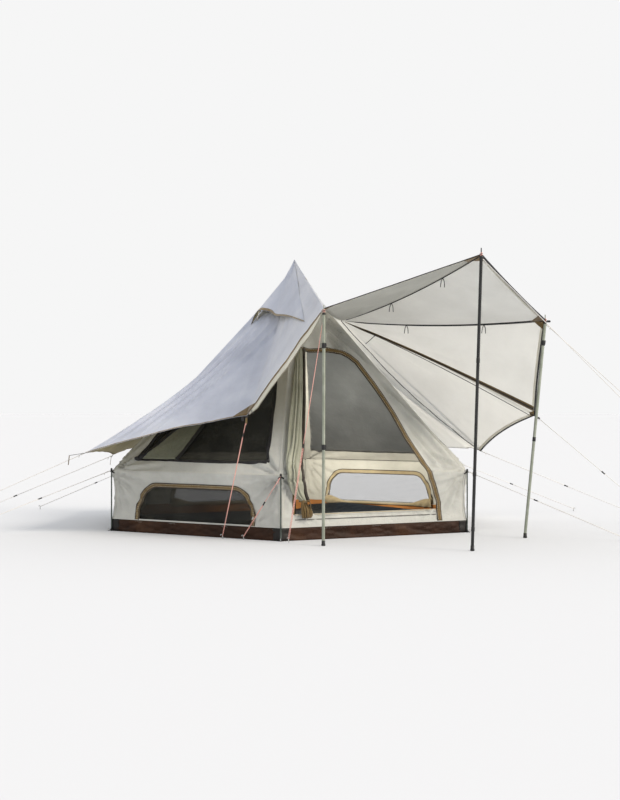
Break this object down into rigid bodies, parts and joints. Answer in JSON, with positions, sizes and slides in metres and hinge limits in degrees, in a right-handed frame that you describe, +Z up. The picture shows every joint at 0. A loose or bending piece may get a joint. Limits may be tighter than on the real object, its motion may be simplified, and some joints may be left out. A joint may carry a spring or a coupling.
{
  "type": "glamping tent",
  "caption": "Hexagonal glamping tent with a centre pole, netted windows, an open door and a fly raised as an awning on poles.",
  "frame": {"origin": "on the ground under the centre pole, in the middle of the groundsheet's underside", "axes": "+Z up, -Y out of the door side, +X to the right when facing the door from outside"},
  "size_m": [7.6098, 7.1373, 2.75],
  "materials": {
    "canvas": "woven cotton blend, matt",
    "fly_cloth": "silver coated woven polyester, soft sheen",
    "awning_cloth": "woven polyester, lit through",
    "netting": "fine insect mesh",
    "upstand": "coated woven cloth, brown",
    "groundsheet": "coated woven sheet, dark blue",
    "grey_tube": "satin grey green tube",
    "black_tube": "satin black tube",
    "guy_line": "braided line, salmon"
  },
  "bodies": {
    "root": {"groundsheet": "groundsheet", "floor_upstand": "upstand", "back_right_side": "canvas", "back_right_window_net": "netting", "back_right_roof_net": "netting", "back_left_side": "canvas", "back_left_window_net": "netting", "back_left_roof_net": "netting", "left_side": "canvas", "left_window_net": "netting", "left_roof_net": "netting", "front_left_side": "canvas", "front_left_window_net": "netting", "front_left_roof_net": "netting", "door_side": "canvas", "gathered_door": "canvas", "right_side": "canvas", "right_window_net": "netting", "right_roof_net": "netting", "centre_pole": "black_tube", "right_wall_pole": "grey_tube", "back_right_wall_pole": "grey_tube", "back_left_wall_pole": "grey_tube", "left_wall_pole": "grey_tube", "front_wall_pole": "grey_tube", "front_right_wall_pole": "grey_tube", "front_pole": "grey_tube", "tall_pole": "black_tube", "right_pole": "grey_tube", "front_left_fly": "fly_cloth", "left_fly": "fly_cloth", "back_fly": "fly_cloth", "right_fly": "fly_cloth", "front_fly_gusset": "fly_cloth", "awning_header": "awning_cloth", "awning_top": "awning_cloth", "awning_side": "awning_cloth", "awning_rear": "awning_cloth", "right_fly_gusset": "fly_cloth", "fly_cap": "fly_cloth", "vent_hood": "fly_cloth", "right_wall_guy": "guy_line", "back_right_wall_guy": "guy_line", "back_left_wall_guy": "guy_line", "left_wall_guy": "guy_line", "front_wall_guy": "guy_line", "front_right_wall_guy": "guy_line", "front_pole_guy": "guy_line", "tall_pole_guy": "guy_line", "right_pole_guy": "guy_line", "left_fly_guy": "guy_line", "far_left_fly_guy": "guy_line", "rear_left_fly_guy": "guy_line", "awning_low_guy": "guy_line", "awning_rear_guy": "guy_line"}
  },
  "joints": []
}
